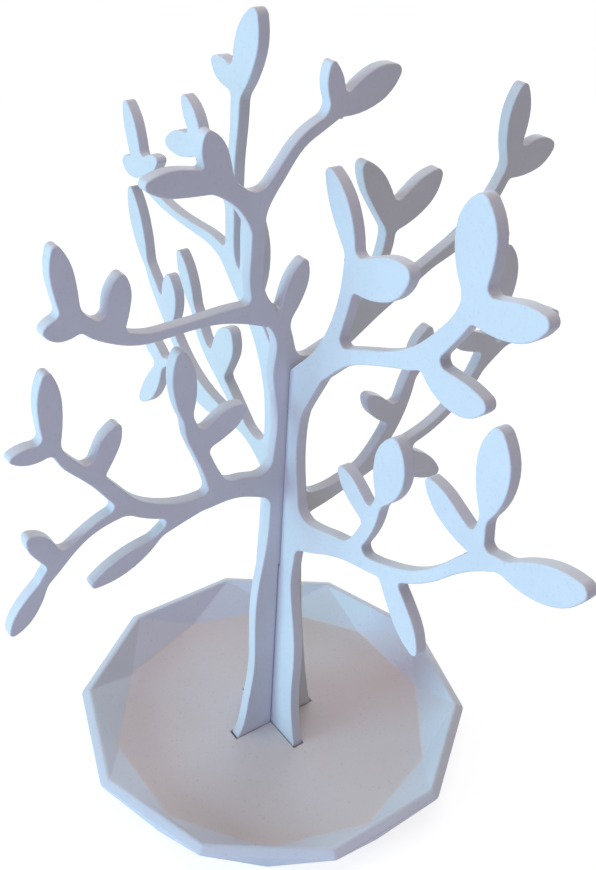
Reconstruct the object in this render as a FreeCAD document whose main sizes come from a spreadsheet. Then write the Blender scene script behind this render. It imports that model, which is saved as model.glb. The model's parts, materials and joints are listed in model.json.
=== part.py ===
import FreeCAD
import Part
import math
import os
from FreeCAD import Vector

# Jewellery tree: two flat-cut tree silhouettes cross at right angles in a cross-lap
# and stand with their feet in a cross-shaped socket in the floor of a ten-sided dish.
# Millimetres, up is +Z, the origin lies under the middle of the dish.

doc = FreeCAD.newDocument("jewellery_tree")

# Driving sizes
sheet = doc.addObject("Spreadsheet::Sheet", "sizes")
size_rows = [
    ("tree_height", 250.0),        # dish floor to the tip of the highest leaf
    ("board_thickness", 4.0),      # thickness of both silhouettes
    ("lap_height", 75.0),          # dish floor to the meeting of the two lap slots
    ("lap_clearance", 0.15),       # play on each side of a lap slot
    ("crotch_radius", 2.0),        # rounding where leaves and twigs meet
    ("neck_radius", 6.0),          # rounding where a leaf runs on from its branch
    ("trunk_crotch_radius", 5.0),  # rounding where branches leave the trunk
    ("outline_tolerance", 0.12),   # how closely cut arcs follow the drawn curve of a branch
    ("main_foot_left", 16.6),      # trunk axis to the outer end of a foot, main silhouette
    ("main_foot_right", 15.8),
    ("cross_foot_front", 16.2),    # the same on the cross silhouette
    ("cross_foot_back", 16.2),
    ("girdle_radius", 70.8),       # widest ring of the dish, to its corners
    ("girdle_bulge", 2.8),         # how far the widest ring stands out from the rim
    ("rim_land", 1.0),             # flat top of the rim
    ("rim_drop", 1.6),             # rim top down to the widest ring
    ("wall_run", 9.5),             # inner edge of the rim in to the dish floor
    ("base_run", 8.8),             # widest ring in to the corners of the underside
    ("rim_radius", "=girdle_radius - girdle_bulge - rim_land"),  # inner edge of the rim, to its corners
    ("floor_radius", "=rim_radius - wall_run"),                  # dish floor, to its corners
    ("base_radius", "=girdle_radius - base_run"),                # underside, to its corners
    ("dish_depth", 9.6),           # rim top down to the dish floor
    ("floor_thickness", 4.0),      # dish floor down to the underside
    ("socket_depth", 2.0),         # how far the feet stand in the dish floor
    ("socket_clearance", 0.2),     # play on each side of a foot in its socket
    ("socket_end_gap", 0.8),       # gap at the outer end of each foot
]
for row, (alias, value) in enumerate(size_rows, start=1):
    sheet.set(f"A{row}", alias)
    sheet.set(f"B{row}", str(value))
    sheet.setAlias(f"B{row}", alias)
doc.recompute()


def size(alias):
    return float(sheet.get(alias))


# Places on the silhouettes are hundredths of the tree height:
# first across from the trunk axis, then up from the dish floor.
unit = size("tree_height") / 100
# Corners nearer the trunk axis than this take the larger rounding
trunk_reach_share = 6.0
trunk_reach = trunk_reach_share * unit

# A leaf is widest at this share of its length, and its tip has this share of its half width as radius.
# Its base takes the first of these shares of its width that its branch and neighbours cover
leaf_widest_share = 0.57
leaf_base_shares = (0.72, 0.64, 0.56, 0.48, 0.4, 0.32, 0.24, 0.16)
leaf_tip_share = 0.46
# Faces nearer to a corner than this count as covering it
touch_share = 0.001
touch = touch_share * unit
# Hollow corners that turn less than this many degrees take the larger rounding of a neck
neck_turn = 65

# Main silhouette, carrying the trunk through to the top
main_left_edge_shares = [
    (-5.7, 2.3), (-5.2, 5.5), (-4.5, 10.2), (-4.2, 15.5), (-4.4, 20.9), (-4.3, 24.6), (-3.9, 28.4),
    (-3.3, 32.2), (-2.8, 36.4), (-2.7, 41.6), (-2.6, 47.7), (-2.2, 53.2), (-2.8, 57.7), (-3.1, 60.7),
    (-2.8, 64.1), (-3.7, 66.3), (-5.4, 68.3), (-6.5, 70.8), (-6.8, 74.8), (-6.9, 80.8),
]
main_right_edge_shares = [
    (5.9, 2.3), (5.4, 5.5), (4.7, 10.5), (3.7, 19.5), (3.1, 27.6), (2.9, 34.6), (2.7, 40.6),
    (1.9, 45.6), (1.7, 50.7), (1.6, 56.2), (0.7, 60.7), (-0.3, 64.1), (-1.1, 66.5),
    (-2.9, 68.8), (-4.4, 71.0), (-4.9, 74.8), (-4.9, 80.8),
]
# Branches: across, up and width at each station, ending in a point inside a leaf
main_branch_shares = [
    # low left, rising to the outer leaf pair
    [(-0.7, 43.2, 4.6), (-3.8, 44.1, 3.2), (-8.0, 45.3, 2.8), (-12.1, 45.0, 2.3), (-15.6, 45.2, 2.2),
     (-19.6, 46.6, 2.1), (-22.1, 48.2, 2.1), (-24.2, 50.7, 1.9), (-26.0, 53.1, 1.7), (-28.0, 55.2, 1.5),
     (-29.9, 57.4, 1.4), (-31.0, 60.8, 0.0)],
    # low left, drooping end
    [(-22.2, 48.2, 1.8), (-25.1, 47.7, 1.4), (-27.6, 46.8, 1.2), (-30.1, 45.1, 1.3), (-32.3, 43.3, 1.7),
     (-34.7, 40.4, 0.0)],
    # low left, stalk of the long lower leaf
    [(-12.1, 44.9, 1.8), (-16.1, 43.8, 1.6), (-20.4, 41.6, 0.0)],
    # low left, upright twig
    [(-10.1, 45.3, 3.4), (-11.5, 49.0, 2.0), (-13.0, 52.8, 1.9), (-14.1, 55.8, 1.9), (-14.8, 59.2, 0.0)],
    # middle left
    [(-3.6, 67.8, 2.6), (-8.0, 69.2, 2.1), (-11.5, 69.5, 1.3), (-16.6, 69.4, 1.2), (-20.6, 69.6, 1.4),
     (-23.6, 70.8, 1.7), (-26.2, 72.6, 1.8), (-27.8, 75.5, 0.0)],
    # top left
    [(-5.9, 78.2, 1.3), (-6.7, 81.4, 2.4), (-9.1, 83.7, 2.1), (-10.9, 84.7, 2.0), (-13.6, 85.3, 0.0)],
    # top right
    [(-5.8, 78.2, 1.7), (-4.8, 82.3, 1.7), (-2.8, 84.9, 1.5), (-0.7, 87.5, 1.4), (1.9, 89.1, 1.4),
     (6.1, 90.7, 0.0)],
    # upper right
    [(-0.9, 57.5, 3.2), (2.8, 60.1, 2.6), (6.7, 61.6, 2.4), (10.7, 64.0, 2.2), (14.8, 66.1, 1.8),
     (17.8, 67.6, 1.6), (20.8, 69.2, 1.5), (23.8, 70.4, 1.6), (26.8, 72.5, 1.7), (29.4, 75.3, 1.6),
     (31.4, 78.3, 1.5), (32.1, 82.3, 0.0)],
    # upper right, twig with a leaf pair
    [(8.1, 62.4, 2.6), (10.9, 67.6, 1.8), (12.7, 71.7, 1.5), (13.2, 74.7, 1.5), (12.8, 77.3, 0.0)],
    # low right, rising to the outer leaf
    [(0.7, 39.2, 4.4), (5.2, 38.7, 2.8), (9.2, 39.5, 2.1), (12.8, 40.6, 2.1), (16.8, 41.6, 1.5),
     (21.3, 42.5, 1.4), (25.8, 44.3, 1.4), (29.4, 47.0, 1.6), (32.0, 50.2, 1.9), (33.6, 54.2, 1.9),
     (35.1, 59.6, 0.0)],
    # low right, side stalk
    [(31.6, 49.8, 1.6), (35.1, 52.7, 1.7), (39.5, 54.2, 0.0)],
    # low right, upright twig
    [(12.0, 40.6, 1.4), (15.0, 43.3, 1.9), (17.1, 46.4, 2.1), (18.4, 49.4, 2.0), (19.2, 52.2, 1.9),
     (20.3, 55.2, 0.0)],
]
# Leaves: base across and up, tip across and up, width, sideways bow, and the base share where it is seen
main_leaf_shares = [
    (-14.7, 57.1, -15.5, 66.7, 3.2, -0.1),
    (-12.8, 53.6, -6.8, 57.0, 3.4, 0.0),
    (-18.2, 42.5, -27.8, 38.7, 2.7, 0.2),
    (-26.4, 53.8, -23.3, 59.9, 2.7, 0.1),
    (-31.1, 59.2, -31.1, 68.6, 2.9, 0.0),
    (-30.3, 59.3, -36.0, 59.6, 2.2, 0.1),
    (-31.8, 43.9, -35.0, 48.9, 2.7, -0.3),
    (-33.6, 41.9, -38.0, 36.1, 2.6, 0.1),
    (-23.3, 70.8, -22.2, 77.5, 2.9, 0.0),
    (-27.9, 73.5, -29.2, 82.0, 2.7, 0.0),
    (-26.1, 73.3, -31.2, 73.2, 2.8, 0.2),
    (-10.7, 85.0, -19.4, 86.1, 3.0, -0.1),
    (-10.0, 84.3, -12.2, 90.6, 3.2, 0.0),
    (4.6, 89.4, 3.0, 95.7, 2.4, 0.1),
    (4.4, 90.2, 12.4, 94.0, 3.9, 0.0),
    (-1.9, 66.7, 0.9, 74.0, 3.0, -0.1),
    (31.9, 79.9, 32.4, 89.9, 3.7, 0.0),
    (31.8, 78.9, 39.5, 81.3, 4.2, 0.2),
    (27.2, 72.7, 33.8, 70.0, 2.8, 0.0),
    (13.5, 75.6, 8.3, 84.0, 3.2, -0.2),
    (12.9, 75.8, 20.3, 81.2, 4.0, -0.5),
    (34.7, 58.0, 34.0, 68.6, 3.8, -0.6),
    (37.3, 53.6, 47.0, 55.3, 4.2, 0.0),
    (33.6, 54.0, 26.1, 56.9, 3.0, 0.0),
    (19.7, 53.0, 21.8, 59.9, 3.4, 0.0),
    (17.7, 47.2, 12.2, 52.2, 2.8, 0.3),
    (16.8, 41.3, 26.9, 34.8, 3.8, 0.2),
]

# Cross silhouette
cross_front_edge_shares = [
    (-6.0, 2.1), (-5.4, 5.3), (-5.1, 10.3), (-5.2, 15.9), (-4.8, 20.8), (-4.1, 24.4), (-3.5, 28.6),
    (-3.8, 32.5), (-4.2, 37.5), (-3.9, 42.5), (-3.2, 47.5), (-3.1, 51.1), (-3.4, 54.2), (-4.2, 56.9),
    (-5.1, 58.8),
]
cross_back_edge_shares = [
    (6.2, 1.9), (5.8, 5.3), (5.5, 10.3), (5.2, 17.4), (4.9, 23.4), (4.6, 28.4), (4.4, 32.5),
    (4.2, 37.5), (4.1, 42.5), (4.0, 47.5), (4.0, 51.1), (4.3, 54.2), (4.8, 56.9), (5.4, 58.8),
]
cross_branch_shares = [
    # upper front, upright end
    [(-0.5, 55.6, 6.0), (-3.7, 60.0, 4.2), (-6.1, 63.4, 3.1), (-8.0, 67.1, 2.4), (-9.2, 70.7, 1.9),
     (-10.1, 74.2, 2.0), (-10.3, 77.3, 1.9), (-9.4, 80.7, 0.0)],
    # upper front, reaching outwards
    [(-4.1, 60.8, 2.4), (-7.5, 64.2, 2.8), (-10.9, 66.7, 2.0), (-14.5, 68.4, 1.7), (-18.6, 70.2, 1.9),
     (-22.1, 72.1, 2.5), (-24.7, 74.9, 2.3), (-26.3, 77.1, 2.1), (-27.8, 79.7, 2.2), (-28.2, 82.2, 2.2),
     (-28.0, 85.6, 0.0)],
    # low front
    [(-0.3, 37.3, 7.4), (-4.7, 37.9, 5.0), (-9.0, 39.5, 3.4), (-13.5, 41.3, 2.7), (-18.1, 42.3, 2.0),
     (-21.6, 43.6, 1.9), (-26.1, 46.2, 1.6), (-29.6, 49.4, 1.6), (-32.2, 52.4, 1.8), (-34.9, 54.7, 2.1),
     (-39.9, 56.4, 0.0)],
    # low front, inner upright twig
    [(-13.5, 41.5, 2.0), (-16.2, 45.1, 1.8), (-17.8, 48.9, 1.8), (-19.1, 53.6, 0.0)],
    # low front, outer upright twig
    [(-33.9, 54.0, 2.2), (-34.0, 57.4, 1.7), (-34.2, 61.6, 0.0)],
    # upper back
    [(1.4, 54.6, 6.0), (4.4, 59.8, 3.8), (7.6, 63.8, 3.0), (11.1, 67.0, 3.2), (14.1, 69.1, 2.1),
     (18.2, 70.0, 1.5), (23.3, 70.0, 1.2), (28.3, 70.3, 1.2), (32.8, 71.4, 1.5), (36.6, 74.7, 0.0)],
    # upper back, top stem
    [(10.2, 66.3, 2.0), (12.6, 70.2, 1.9), (12.8, 73.7, 2.0), (12.9, 77.7, 1.9), (12.7, 81.7, 1.7),
     (12.2, 85.8, 1.7), (12.0, 89.8, 1.8), (11.2, 92.8, 0.0)],
    # upper back, twig with a leaf pair
    [(12.7, 75.7, 1.6), (16.7, 79.2, 1.4), (21.5, 81.5, 0.0)],
    # low back
    [(1.8, 42.7, 3.8), (5.1, 44.9, 2.3), (9.1, 46.3, 1.8), (13.1, 46.2, 1.6), (17.7, 46.4, 1.9),
     (21.8, 47.8, 1.8), (25.8, 50.5, 1.6), (29.3, 54.2, 1.8), (32.3, 57.6, 1.8), (35.1, 61.4, 0.0)],
    # low back, inner upright twig
    [(7.6, 45.7, 1.4), (11.6, 49.1, 1.6), (15.2, 51.7, 1.8), (18.9, 54.4, 1.7), (20.6, 56.9, 1.6),
     (22.3, 60.0, 0.0)],
    # low back, drooping twig
    [(14.6, 46.2, 1.1), (22.3, 45.5, 1.3), (27.8, 46.7, 1.5), (31.9, 44.5, 0.0)],
]
cross_leaf_shares = [
    (-10.1, 76.3, -19.5, 80.4, 4.7, 0.7),
    (-10.8, 77.7, -5.5, 86.5, 3.3, 0.4),
    (-22.7, 72.0, -32.1, 71.6, 4.0, 1.1),
    (-28.0, 80.3, -37.6, 83.0, 3.9, 0.6),
    (-28.2, 81.2, -27.8, 91.3, 5.4, -0.3, 0.42),
    (-37.1, 55.3, -47.7, 60.1, 4.4, 0.4),
    (-33.4, 55.6, -25.6, 59.4, 3.3, -0.4),
    (-34.2, 59.5, -34.1, 70.3, 4.6, 0.2),
    (-18.8, 51.4, -20.3, 61.2, 5.1, 0.2),
    (-17.3, 48.4, -11.3, 52.4, 3.0, -0.1),
    (-21.0, 43.3, -27.6, 35.4, 3.8, 0.0),
    (35.6, 72.7, 38.9, 81.5, 3.3, 0.2),
    (35.1, 72.9, 40.0, 73.1, 2.9, -0.1),
    (35.6, 72.8, 30.4, 76.0, 2.4, -0.1),
    (11.8, 89.5, 8.6, 99.3, 4.4, -0.2),
    (11.8, 90.6, 17.2, 92.2, 2.9, -0.2),
    (9.4, 65.0, 9.4, 77.5, 4.4, 1.2),
    (19.5, 80.3, 23.9, 86.2, 2.9, 0.2),
    (19.4, 80.8, 28.1, 79.1, 3.3, 0.2),
    (34.0, 59.4, 38.3, 69.8, 3.4, -0.2),
    (28.4, 53.2, 28.2, 60.7, 3.7, 0.4),
    (21.5, 58.2, 25.3, 65.4, 2.6, 0.0),
    (15.6, 51.8, 12.4, 59.3, 4.4, -0.2),
    (29.8, 46.0, 35.7, 48.6, 2.9, -0.4),
    (30.6, 45.9, 37.3, 36.0, 3.1, -0.5),
]


# Flat shapes in the upright plane through the X axis
def place(across, up):
    return Vector(across * unit, 0, up * unit)


def smooth(points):
    curve = Part.BSplineCurve()
    curve.interpolate(points)
    return curve.toShape()


def trunk(feet, edges):
    one_side = [Vector(-feet[0], 0, 0)] + [place(across, up) for across, up in edges[0]]
    other_side = [Vector(feet[1], 0, 0)] + [place(across, up) for across, up in edges[1]]
    wire = Part.Wire([
        smooth(one_side),
        Part.makeLine(one_side[-1], other_side[-1]),
        smooth(list(reversed(other_side))),
        Part.makeLine(other_side[0], one_side[0]),
    ])
    return Part.Face(wire)


def foot_tab(feet):
    low = -size("socket_depth")
    corners = [(-feet[0], 0), (feet[1], 0), (feet[1], low), (-feet[0], low), (-feet[0], 0)]
    return Part.Face(Part.makePolygon([Vector(across, 0, up) for across, up in corners]))


def branch(stations):
    middles = [place(across, up) for across, up, width in stations]
    curve = Part.BSplineCurve()
    curve.interpolate(middles)
    one_side = []
    other_side = []
    for middle, (across, up, width) in zip(middles[:-1], stations):
        along = curve.tangent(curve.parameter(middle))[0]
        out = Vector(-along.z, 0, along.x) * (width * unit / 2)
        one_side.append(middle + out)
        other_side.append(middle - out)
    end = middles[-1]
    wire = Part.Wire([
        smooth(one_side + [end]),
        smooth([end] + list(reversed(other_side))),
        Part.makeLine(other_side[0], one_side[0]),
    ])
    return Part.Face(wire)


# Arc that leaves a point in a given heading and ends at another point
def bent(start, heading, end):
    chord = end - start
    aside = heading - chord * (heading.dot(chord) / chord.dot(chord))
    rise = chord.Length / 2 * math.tan(heading.getAngle(chord) / 2)
    return Part.Arc(start, (start + end) / 2 + aside.normalize() * rise, end).toShape()


# Leaf of arcs: narrow where it sits in its branch, widest past the middle, with a small round tip
def leaf(base_across, base_up, tip_across, tip_up, width, bow, base_share=0.0):
    base = place(base_across, base_up)
    tip = place(tip_across, tip_up)
    along = tip - base
    out = Vector(-along.z, 0, along.x).normalize()

    def heading(share):
        return (along + out * (bow * unit * math.pi * math.cos(math.pi * share))).normalize()

    middle = base + along * leaf_widest_share + out * (bow * unit * math.sin(math.pi * leaf_widest_share))
    upward = heading(leaf_widest_share)
    half_width = width * unit / 2
    tip_radius = half_width * leaf_tip_share
    tip_middle = tip - heading(1) * tip_radius
    low_arcs = []
    high_arcs = []
    base_ends = []
    tip_ends = []
    for side in (Vector(-upward.z, 0, upward.x), Vector(upward.z, 0, -upward.x)):
        widest = middle + side * half_width
        gap = widest - tip_middle
        radius = (gap.dot(gap) - tip_radius ** 2) / (2 * (gap.dot(side) - tip_radius))
        arc_middle = widest - side * radius
        tip_end = arc_middle + (tip_middle - arc_middle).normalize() * radius
        base_ends.append(base + side * (half_width * base_share))
        low_arcs.append(bent(widest, upward * -1, base_ends[-1]))
        high_arcs.append(bent(widest, upward, tip_end))
        tip_ends.append(tip_end)
    tip_arc = Part.Arc(tip_ends[0], tip, tip_ends[1]).toShape()
    base_line = [Part.makeLine(*base_ends)] if base_share else []
    line = [high_arcs[0], low_arcs[0]] + base_line + [low_arcs[1], high_arcs[1], tip_arc]
    return Part.Face(Part.Wire(line))


# The leaf with the widest base whose corners lie in the neighbouring faces
def seated_leaf(row, neighbours):
    base = place(row[0], row[1])
    along = place(row[2], row[3]) - base
    out = Vector(-along.z, 0, along.x).normalize()
    if len(row) > 6:
        return leaf(*row)
    for base_share in leaf_base_shares:
        reach = out * (base_share * row[4] * unit / 2)
        corners = (base + reach, base - reach)
        if all(any(face.isInside(corner, touch, True) for face in neighbours) for corner in corners):
            return leaf(*row, base_share)
    return leaf(*row)


# One run of an outline: a curve followed from its start to its end with the board on the left hand
class Run:
    def __init__(self, curve, start, end):
        self.curve = curve
        self.start = start
        self.end = end
        self.way = 1 if end > start else -1

    def spot(self, at):
        return self.curve.value(at)

    def heading(self, at):
        return self.curve.tangent(at)[0] * self.way

    # point at a given distance off the outline, on the empty side
    def beside(self, at, distance):
        heading = self.heading(at)
        return self.curve.value(at) + Vector(heading.z, 0, -heading.x) * distance

    def holds(self, at):
        return (at - self.start) * self.way > 0 and (self.end - at) * self.way > 0

    # the run as arcs and lines, in order
    def edges(self):
        low = min(self.start, self.end)
        high = max(self.start, self.end)
        if self.curve.TypeId != "Part::GeomBSplineCurve":
            return [self.curve.toShape(low, high)]
        stretch = self.curve.copy()
        stretch.segment(low, high)
        arcs = [arc.toShape() for arc in stretch.toBiArcs(size("outline_tolerance"))]
        return arcs if self.way > 0 else list(reversed(arcs))


def outline_runs(face):
    runs = []
    for edge in face.OuterWire.OrderedEdges:
        ends = [edge.FirstParameter, edge.LastParameter]
        if edge.Orientation == "Reversed":
            ends.reverse()
        runs.append(Run(edge.Curve, *ends))
    corners = [run.spot(run.start) for run in runs]
    turning = sum(one.x * other.z - other.x * one.z for one, other in zip(corners, corners[1:] + corners[:1]))
    if turning < 0:
        runs = [Run(run.curve, run.end, run.start) for run in reversed(runs)]
    return runs


# Where an arc touches two runs that meet in a hollow corner: its places on both runs, and its middle
def touching_arc(one, other, radius):
    turn = one.heading(one.end).getAngle(other.heading(other.start))
    reach = radius * math.tan(turn / 2)
    one_at = one.end - one.way * reach / one.curve.getD1(one.end)[1].Length
    other_at = other.start + other.way * reach / other.curve.getD1(other.start)[1].Length
    for step in range(30):
        if not (one.holds(one_at) and other.holds(other_at)):
            return None
        miss = one.beside(one_at, radius) - other.beside(other_at, radius)
        if miss.Length < 1e-9 * radius:
            return one_at, other_at, one.beside(one_at, radius)
        one_nudge = abs(one.end - one.start) * 1e-6
        other_nudge = abs(other.end - other.start) * 1e-6
        one_slope = (one.beside(one_at + one_nudge, radius) - one.beside(one_at, radius)) / one_nudge
        other_slope = other.beside(other_at + other_nudge, radius) - other.beside(other_at, radius)
        other_slope = other_slope / other_nudge
        spread = one_slope.x * other_slope.z - one_slope.z * other_slope.x
        if abs(spread) < 1e-9:
            return None
        one_at -= (miss.x * other_slope.z - miss.z * other_slope.x) / spread
        other_at -= (miss.x * one_slope.z - miss.z * one_slope.x) / spread
    return None


# Rounds every hollow corner of a flat shape, with smaller arcs where the runs are short
def rounded(face):
    runs = outline_runs(face)
    edges = []
    kept_sharp = []
    for place_in_line, one in enumerate(runs):
        other = runs[(place_in_line + 1) % len(runs)]
        corner = one.spot(one.end)
        leaving = one.heading(one.end)
        entering = other.heading(other.start)
        arc = None
        if leaving.z * entering.x - leaving.x * entering.z > 0.1:
            if abs(corner.x) < trunk_reach:
                radius = size("trunk_crotch_radius")
            elif math.degrees(leaving.getAngle(entering)) < neck_turn:
                radius = size("neck_radius")
            else:
                radius = size("crotch_radius")
            while arc is None and radius > size("crotch_radius") / 6:
                found = touching_arc(one, other, radius)
                if found:
                    one.end, other.start, middle = found
                    top = middle + (corner - middle).normalize() * radius
                    arc = Part.Arc(one.spot(one.end), top, other.spot(other.start)).toShape()
                radius *= 0.75
            if arc is None:
                kept_sharp.append((round(corner.x, 1), round(corner.z, 1)))
        edges.append((one, arc))
    if kept_sharp:
        print("corners left sharp:", kept_sharp)
    line = []
    for run, arc in edges:
        line.extend(run.edges())
        if arc:
            line.append(arc)
    return Part.Face(Part.Wire(line))


def silhouette(feet, edges, branches, leaves):
    through = Vector(0, size("board_thickness"), 0)
    faces = [trunk(feet, edges), foot_tab(feet)]
    faces += [branch(stations) for stations in branches]
    narrow = [leaf(*row[:6]) for row in leaves]
    faces += [seated_leaf(row, [face for face in faces + narrow if face is not own])
              for row, own in zip(leaves, narrow)]
    board = faces[0].extrude(through)
    for face in faces[1:]:
        board = board.fuse(face.extrude(through))
    board = board.removeSplitter()
    fronts = [face for face in board.Faces if face.BoundBox.YMax < through.y / 2]
    if len(fronts) != 1 or len(fronts[0].Wires) != 1:
        raise RuntimeError("a silhouette must be one flat shape without holes")
    front = rounded(fronts[0])
    front.translate(through / -2)
    return front.extrude(through)


def flat_board(name, feet, edges, branches, leaves, turn):
    board = doc.addObject("Part::Feature", name)
    board.Shape = silhouette([size(foot) for foot in feet], edges, branches, leaves)
    board.Placement = FreeCAD.Placement(Vector(0, 0, 0), FreeCAD.Rotation(Vector(0, 0, 1), turn))
    return board


def box(name, length, width, height, left, front, low):
    block = doc.addObject("Part::Box", name)
    named = ("Length", "Width", "Height", "Placement.Base.x", "Placement.Base.y", "Placement.Base.z")
    for field, formula in zip(named, (length, width, height, left, front, low)):
        block.setExpression(field, formula)
    return block


def cut(name, body, tool):
    result = doc.addObject("Part::Cut", name)
    result.Base = body
    result.Tool = tool
    return result


# Main silhouette, slotted from the feet up so that it drops over the other one
main_board = flat_board(
    "main_board", ("main_foot_left", "main_foot_right"),
    (main_left_edge_shares, main_right_edge_shares), main_branch_shares, main_leaf_shares, 0)
main_slot = box(
    "main_slot",
    "sizes.board_thickness + 2 * sizes.lap_clearance",
    "2 * sizes.board_thickness",
    "sizes.board_thickness + sizes.lap_height + sizes.lap_clearance",
    "-sizes.board_thickness / 2 - sizes.lap_clearance",
    "-sizes.board_thickness",
    "-sizes.board_thickness",
)
main_panel = cut("main_panel", main_board, main_slot)
main_panel.setExpression("Placement.Base.z", "sizes.floor_thickness")

# Cross silhouette, slotted from the lap up
cross_board = flat_board(
    "cross_board", ("cross_foot_front", "cross_foot_back"),
    (cross_front_edge_shares, cross_back_edge_shares), cross_branch_shares, cross_leaf_shares, 90)
cross_slot = box(
    "cross_slot",
    "2 * sizes.board_thickness",
    "sizes.board_thickness + 2 * sizes.lap_clearance",
    "sizes.tree_height",
    "-sizes.board_thickness",
    "-sizes.board_thickness / 2 - sizes.lap_clearance",
    "sizes.lap_height - sizes.lap_clearance",
)
cross_panel = cut("cross_panel", cross_board, cross_slot)
cross_panel.setExpression("Placement.Base.z", "sizes.floor_thickness")

# Ten-sided dish: flat facets between rings of ten corners that are turned half a side against each other
sides = 10
half_side = 180 / sides


def ring(radius, height, turn):
    angles = [math.radians(360 * corner / sides + turn) for corner in range(sides)]
    return [Vector(radius * math.cos(angle), radius * math.sin(angle), height) for angle in angles]


def facet(*corners):
    return Part.Face(Part.makePolygon(list(corners) + [corners[0]]))


def faceted(turned_ring, *straight_rings):
    faces = [facet(*turned_ring), facet(*straight_rings[-1])]
    for corner in range(sides):
        after = (corner + 1) % sides
        upper = straight_rings[0]
        faces.append(facet(turned_ring[corner], upper[after], upper[corner]))
        faces.append(facet(turned_ring[corner], turned_ring[after], upper[after]))
        for low, high in zip(straight_rings, straight_rings[1:]):
            faces.append(facet(low[corner], low[after], high[after], high[corner]))
    solid = Part.makeSolid(Part.makeShell(faces))
    if solid.Volume < 0:
        solid.reverse()
    return solid


floor_height = size("floor_thickness")
rim_height = floor_height + size("dish_depth")
girdle_height = rim_height - size("rim_drop")
dish_outside = doc.addObject("Part::Feature", "dish_outside")
dish_outside.Shape = faceted(
    ring(size("base_radius"), 0, half_side),
    ring(size("girdle_radius"), girdle_height, 0),
    ring(size("rim_radius") + size("rim_land"), rim_height, 0),
)
dish_hollow = doc.addObject("Part::Feature", "dish_hollow")
dish_hollow.Shape = faceted(
    ring(size("floor_radius"), floor_height, half_side),
    ring(size("rim_radius"), rim_height, 0),
    ring(size("rim_radius"), rim_height + size("dish_depth"), 0),
)
dish = cut("dish", dish_outside, dish_hollow)

# Cross-shaped socket for the feet
main_socket = box(
    "main_socket",
    "sizes.main_foot_left + sizes.main_foot_right + 2 * sizes.socket_end_gap",
    "sizes.board_thickness + 2 * sizes.socket_clearance",
    "2 * sizes.socket_depth",
    "-sizes.main_foot_left - sizes.socket_end_gap",
    "-sizes.board_thickness / 2 - sizes.socket_clearance",
    "sizes.floor_thickness - sizes.socket_depth",
)
cross_socket = box(
    "cross_socket",
    "sizes.board_thickness + 2 * sizes.socket_clearance",
    "sizes.cross_foot_front + sizes.cross_foot_back + 2 * sizes.socket_end_gap",
    "2 * sizes.socket_depth",
    "-sizes.board_thickness / 2 - sizes.socket_clearance",
    "-sizes.cross_foot_front - sizes.socket_end_gap",
    "sizes.floor_thickness - sizes.socket_depth",
)
sockets = doc.addObject("Part::MultiFuse", "sockets")
sockets.Shapes = [main_socket, cross_socket]
tray = cut("tray", dish, sockets)
doc.recompute()

# Checks and hand-over
for item in doc.Objects:
    if "Invalid" in item.State or "Error" in item.State:
        raise RuntimeError(f"{item.Label} did not compute")
os.makedirs("parts", exist_ok=True)
for node in (tray, cross_panel, main_panel):
    shape = node.Shape
    if shape.isNull() or not shape.isValid() or len(shape.Solids) != 1:
        raise RuntimeError(f"{node.Label} is not one valid solid")
    shape.exportStep(f"parts/{node.Label}.step")
    print(node.Label, round(shape.Volume / 1000, 2), "cubic centimetres", shape.optimalBoundingBox())
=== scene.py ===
import json
import math

import bpy
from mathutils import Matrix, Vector

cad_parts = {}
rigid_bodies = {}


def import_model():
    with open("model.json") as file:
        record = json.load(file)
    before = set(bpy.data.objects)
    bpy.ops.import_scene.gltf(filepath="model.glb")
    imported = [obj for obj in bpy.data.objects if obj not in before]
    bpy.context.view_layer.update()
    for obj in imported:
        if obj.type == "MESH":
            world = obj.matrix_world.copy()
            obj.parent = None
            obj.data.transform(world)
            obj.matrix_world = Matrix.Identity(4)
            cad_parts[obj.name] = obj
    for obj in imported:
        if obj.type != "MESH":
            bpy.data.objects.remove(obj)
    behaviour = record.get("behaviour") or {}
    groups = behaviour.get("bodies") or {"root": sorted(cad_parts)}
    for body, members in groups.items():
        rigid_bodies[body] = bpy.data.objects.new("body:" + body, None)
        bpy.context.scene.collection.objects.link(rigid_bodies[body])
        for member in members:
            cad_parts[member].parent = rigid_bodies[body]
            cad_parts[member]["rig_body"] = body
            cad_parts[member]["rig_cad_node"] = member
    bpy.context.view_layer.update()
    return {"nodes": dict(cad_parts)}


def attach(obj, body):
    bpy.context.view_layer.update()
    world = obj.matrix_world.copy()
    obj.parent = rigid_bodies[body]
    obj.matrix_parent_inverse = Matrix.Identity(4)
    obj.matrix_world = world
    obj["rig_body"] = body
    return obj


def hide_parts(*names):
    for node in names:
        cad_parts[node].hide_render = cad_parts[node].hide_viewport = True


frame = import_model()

print("frame loaded:", ", ".join(sorted(frame["nodes"])))


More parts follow.
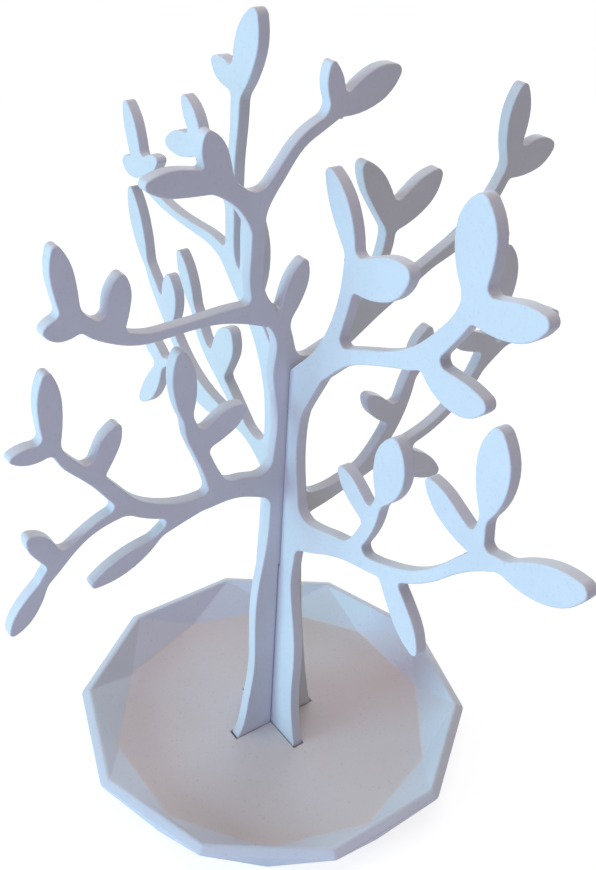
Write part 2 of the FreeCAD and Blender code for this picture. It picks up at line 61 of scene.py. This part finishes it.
# one output of a shader node; sums on it add Math nodes
class Strand:
    def __init__(self, tree, socket=None):
        self.tree = tree
        self.socket = socket

    # any node: its type, its settings, then what goes into its sockets
    def add(self, kind, settings, inputs, output=0):
        node = self.tree.nodes.new(kind)
        for key, value in settings.items():
            setattr(node, key, value)
        for key, value in inputs.items():
            if isinstance(value, Strand):
                self.tree.links.new(value.socket, node.inputs[key])
            else:
                node.inputs[key].default_value = value
        return Strand(self.tree, node.outputs[output] if len(node.outputs) else None)

    def maths(self, operation, one, two):
        return self.add("ShaderNodeMath", {"operation": operation}, {0: one, 1: two})

    # colour that goes from one to two as this strand goes from 0 to 1
    def fade(self, one, two):
        return self.add("ShaderNodeMix", {"data_type": "RGBA"}, {0: self, 6: one, 7: two}, 2)

    # 0 at one value of this strand, 1 at the other, straight between
    def ramp(self, one, two):
        return self.add("ShaderNodeMapRange", {}, {"Value": self, "From Min": one, "From Max": two})

    def __add__(self, other):
        return self.maths("ADD", self, other)

    def __radd__(self, other):
        return self.maths("ADD", other, self)

    def __sub__(self, other):
        return self.maths("SUBTRACT", self, other)

    def __rsub__(self, other):
        return self.maths("SUBTRACT", other, self)

    def __mul__(self, other):
        return self.maths("MULTIPLY", self, other)

    def __rmul__(self, other):
        return self.maths("MULTIPLY", other, self)

    def __gt__(self, other):
        return self.maths("GREATER_THAN", self, other)

    def __lt__(self, other):
        return self.maths("LESS_THAN", self, other)


def newMaterial(name):
    material = bpy.data.materials.new(name)
    material.use_nodes = True
    material.node_tree.nodes.clear()
    return material, Strand(material.node_tree)


# matte off-white with soft clouds and fine flecks; scales are to the metre
boardFinish = {
    "ground": (0.610, 0.615, 0.645, 1),
    "cloud": (0.580, 0.580, 0.605, 1),
    "cloudScale": 30,
    "cloudRange": (0.36, 0.66),   # noise that is all ground, and all cloud
    "fleck": (0.380, 0.360, 0.360, 1),
    "fleckCells": (640, 1150),    # larger flecks, then smaller ones
    "fleckEdge": (0.42, 0.15),    # where a fleck starts and is full, from the middle of its cell
    "fleckOdds": (0.80, 0.60),    # share of the cells left clean
    "fleckDepth": (0.13, 0.11),
    "wobbleScale": 1.8,           # times the cells
    "wobble": 0.35,               # how uneven a fleck's edge is
    "roughness": 0.60,
    "roughSwing": 0.08,           # between ground and cloud
    "grain": 0.12,
    "grainScale": 1700,
    "grainHeight": 0.0002,
    "ior": 1.46,
    "shine": 0.35,
}
# the dish has a slightly bluer wall (painted cool window light), clearer flecks, and a warmer, darker floor
# that is painted shade
dishFinish = dict(
    boardFinish,
    # the bluer ground and cloud of the dish are painted cool window light on its rim and walls
    ground=(0.610, 0.630, 0.690, 1),
    cloud=(0.585, 0.600, 0.650, 1),
    fleckDepth=(0.18, 0.15),
    # painted shade: the dish floor is warmer and darker where the wall keeps off the cool window light
    floorPaintedShade=(0.645, 0.578, 0.560, 1),
    paintedShadeShare=(0.7, 0.2),         # share of the painted floor shade, and what the clouds add to it
    floorReach=0.058,             # from the middle of the dish
    floorTop=(0.0047, 0.0041),    # heights where the painted shade starts and is full
)


def fleckedFinish(name, finish):
    material, start = newMaterial(name)
    place = start.add("ShaderNodeTexCoord", {}, {}, "Object")
    noise = start.add("ShaderNodeTexNoise", {}, {
        "Vector": place, "Scale": finish["cloudScale"], "Detail": 4, "Roughness": 0.6})
    cloud = noise.ramp(*finish["cloudRange"])
    colour = cloud.fade(finish["ground"], finish["cloud"])
    # painted shade: the dish floor gets a warmer, darker colour, blotched by the clouds, in place of the
    # window light that the wall keeps off
    if "floorPaintedShade" in finish:
        across, along, height = [
            start.add("ShaderNodeSeparateXYZ", {}, {"Vector": place}, axis) for axis in "XYZ"]
        onFloor = across * across + along * along < finish["floorReach"] ** 2
        shadeShare, cloudShadeShare = finish["paintedShadeShare"]
        paintedShadeMask = height.ramp(*finish["floorTop"]) * onFloor * (shadeShare + cloud * cloudShadeShare)
        colour = paintedShadeMask.fade(colour, finish["floorPaintedShade"])
    for cells, odds, depth in zip(finish["fleckCells"], finish["fleckOdds"], finish["fleckDepth"]):
        wobble = start.add("ShaderNodeTexNoise", {}, {
            "Vector": place, "Scale": cells * finish["wobbleScale"], "Detail": 2})
        dots = {"Vector": place, "Scale": cells, "Randomness": 1}
        near = start.add("ShaderNodeTexVoronoi", {}, dots) + (wobble - 0.5) * finish["wobble"]
        draw = start.add("ShaderNodeTexVoronoi", {}, dots, "Color")
        draw = start.add("ShaderNodeSeparateColor", {}, {"Color": draw}, "Red")
        fleck = near.ramp(*finish["fleckEdge"]) * (draw > odds) * depth
        colour = fleck.fade(colour, finish["fleck"])
    grain = start.add("ShaderNodeTexNoise", {}, {
        "Vector": place, "Scale": finish["grainScale"], "Detail": 3, "Roughness": 0.6})
    bump = start.add("ShaderNodeBump", {}, {
        "Strength": finish["grain"], "Distance": finish["grainHeight"], "Height": grain})
    rough = finish["roughness"] + (cloud - 0.5) * finish["roughSwing"]
    shader = start.add("ShaderNodeBsdfPrincipled", {}, {
        "Base Color": colour, "Roughness": rough, "Normal": bump,
        "IOR": finish["ior"], "Specular IOR Level": finish["shine"]})
    start.add("ShaderNodeOutputMaterial", {}, {"Surface": shader})
    return material


boardWhite = fleckedFinish("boardWhite", boardFinish)
dishWhite = fleckedFinish("dishWhite", dishFinish)
print("finishes made")

# each piece is a copy of its solid with the outer edges eased; edges inside "crisp" (half widths
# from the middle, and a height) are those of the lap and the socket and stay as cut
mainBoard = {
    "node": "main_panel", "slot": "boards", "finish": boardWhite,
    "ease": 0.00050, "sharp": 40, "crisp": (0.0026, 0.0026, 0.30),
}
crossBoard = {
    "node": "cross_panel", "slot": "boards", "finish": boardWhite,
    "ease": 0.00050, "sharp": 40, "crisp": (0.0026, 0.0026, 0.30),
}
facetedDish = {
    "node": "tray", "slot": "dish", "finish": dishWhite,
    "ease": 0.00045, "sharp": 8, "crisp": (0.0200, 0.0200, 0.0042),
}
# the same for all three: metres, degrees, steps across an eased edge
easing = {"merge": 0.000002, "flat": 0.3, "steps": 3, "smooth": 35, "weight": 90}


def easedCopy(name, values):
    node = frame["nodes"][values["node"]]
    bpy.ops.object.select_all(action="DESELECT")
    node.select_set(True)
    bpy.context.view_layer.objects.active = node
    bpy.ops.object.duplicate()
    piece = bpy.context.view_layer.objects.active
    piece.name = name
    piece.data.name = name
    del piece["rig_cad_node"]
    bpy.ops.object.mode_set(mode="EDIT")
    bpy.ops.mesh.select_mode(type="EDGE")
    bpy.ops.mesh.select_all(action="SELECT")
    bpy.ops.mesh.remove_doubles(threshold=easing["merge"])
    bpy.ops.mesh.dissolve_limited(angle_limit=math.radians(easing["flat"]))
    bpy.ops.mesh.select_all(action="DESELECT")
    bpy.ops.mesh.edges_select_sharp(sharpness=math.radians(values["sharp"]))
    bpy.ops.object.mode_set(mode="OBJECT")
    wide, deep, high = values["crisp"]
    inside = [
        abs(corner.co.x) < wide and abs(corner.co.y) < deep and corner.co.z < high
        for corner in piece.data.vertices]
    for edge in piece.data.edges:
        if inside[edge.vertices[0]] and inside[edge.vertices[1]]:
            edge.select = False
    bpy.ops.object.mode_set(mode="EDIT")
    bpy.ops.mesh.bevel(offset=values["ease"], segments=easing["steps"], affect="EDGES", clamp_overlap=False)
    bpy.ops.object.mode_set(mode="OBJECT")
    bpy.ops.object.shade_smooth_by_angle(angle=math.radians(easing["smooth"]))
    bpy.ops.object.modifier_add(type="WEIGHTED_NORMAL")
    weighted = piece.modifiers[-1]
    weighted.weight = easing["weight"]
    weighted.keep_sharp = True
    bpy.ops.object.modifier_apply(modifier=weighted.name)
    piece.data.materials.clear()
    piece.data.materials.append(values["finish"])
    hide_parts(values["node"])
    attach(piece, node["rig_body"])
    print(name, "has", len(piece.data.polygons), "faces")


easedCopy("mainBoard", mainBoard)
easedCopy("crossBoard", crossBoard)
easedCopy("facetedDish", facetedDish)


# 1 for what the camera sees, by itself or in a reflection, and 0 for what lights the object
def seenDirectly(start):
    camera, glossy, through = [
        start.add("ShaderNodeLightPath", {}, {}, f"Is {ray} Ray")
        for ray in ("Camera", "Glossy", "Transmission")]
    return start.maths("MINIMUM", camera + glossy + through, 1)


# pale floor; to the camera and in reflections it shows nearly white and keeps the shadow
floorValues = {
    "size": 1.5, "colour": (0.86, 0.86, 0.86, 1),
    "shown": 0.80, "shade": (0.34, 0.34, 0.34, 1),
}
bpy.ops.object.select_all(action="DESELECT")
bpy.ops.mesh.primitive_plane_add(size=floorValues["size"])
floor = bpy.context.view_layer.objects.active
floor.name = "floor"
paleFloor, start = newMaterial("paleFloor")
glow = start.add("ShaderNodeEmission", {}, {"Color": (1, 1, 1, 1), "Strength": floorValues["shown"]})
shade = start.add("ShaderNodeBsdfDiffuse", {}, {"Color": floorValues["shade"]})
shown = start.add("ShaderNodeAddShader", {}, {0: glow, 1: shade})
matte = start.add("ShaderNodeBsdfDiffuse", {}, {"Color": floorValues["colour"]})
surface = start.add("ShaderNodeMixShader", {}, {0: seenDirectly(start), 1: matte, 2: shown})
start.add("ShaderNodeOutputMaterial", {}, {"Surface": surface})
floor.data.materials.append(paleFloor)

# white behind, and a dim warm room around the object
roomLight = {"level": 0.225, "colour": (1.0, 0.86, 0.56, 1)}
world = bpy.context.scene.world or bpy.data.worlds.new("room")
bpy.context.scene.world = world
world.use_nodes = True
world.node_tree.nodes.clear()
start = Strand(world.node_tree)
behind = start.add("ShaderNodeBackground", {}, {"Color": (1, 1, 1, 1), "Strength": 1})
around = start.add("ShaderNodeBackground", {}, {
    "Color": roomLight["colour"], "Strength": roomLight["level"]})
surface = start.add("ShaderNodeMixShader", {}, {0: seenDirectly(start), 1: around, 2: behind})
start.add("ShaderNodeOutputWorld", {}, {"Surface": surface})

# broad lamps: a cool window on the left, a violet-blue fill near the front left,
# the ceiling, and cool light from behind
windowLamp = {"place": (-1.45, 0.30, 0.33), "size": 0.8, "power": 21.2, "colour": (0.467, 0.84, 1.0)}
fillLamp = {"place": (-0.60, -0.45, 0.24), "size": 0.5, "power": 1.8, "colour": (0.36, 0.41, 1.0)}
ceilingLamp = {"place": (0.0, 0.10, 1.6), "size": 1.4, "power": 12.2, "colour": (0.95, 0.88, 1.0)}
backLamp = {"place": (1.25, 1.0, 0.30), "size": 1.2, "power": 15, "colour": (0.62, 0.82, 1.0)}
lampAim = Vector((0, 0, 0.12))


def areaLamp(name, values):
    bpy.ops.object.light_add(type="AREA", location=values["place"])
    lamp = bpy.context.view_layer.objects.active
    lamp.name = name
    lamp.data.size = values["size"]
    lamp.data.energy = values["power"]
    lamp.data.color = values["colour"]
    aim = lampAim - Vector(values["place"])
    lamp.rotation_euler = aim.to_track_quat("-Z", "Y").to_euler()


areaLamp("windowLamp", windowLamp)
areaLamp("fillLamp", fillLamp)
areaLamp("ceilingLamp", ceilingLamp)
areaLamp("backLamp", backLamp)

view = {
    "place": (-0.171935, -0.230488, 0.318285), "turn": (56.8605, -2.9577, -35.8189),
    "lens": 45.654, "sensor": 36, "shift": (-0.00671, -0.00367), "nearest": 0.01,
}
turn = [math.radians(angle) for angle in view["turn"]]
bpy.ops.object.camera_add(location=view["place"], rotation=turn)
camera = bpy.context.view_layer.objects.active
camera.data.lens = view["lens"]
camera.data.sensor_width = view["sensor"]
camera.data.shift_x, camera.data.shift_y = view["shift"]
camera.data.clip_start = view["nearest"]
bpy.context.scene.camera = camera
bpy.context.scene.view_settings.view_transform = "Standard"
print("studio and camera set")
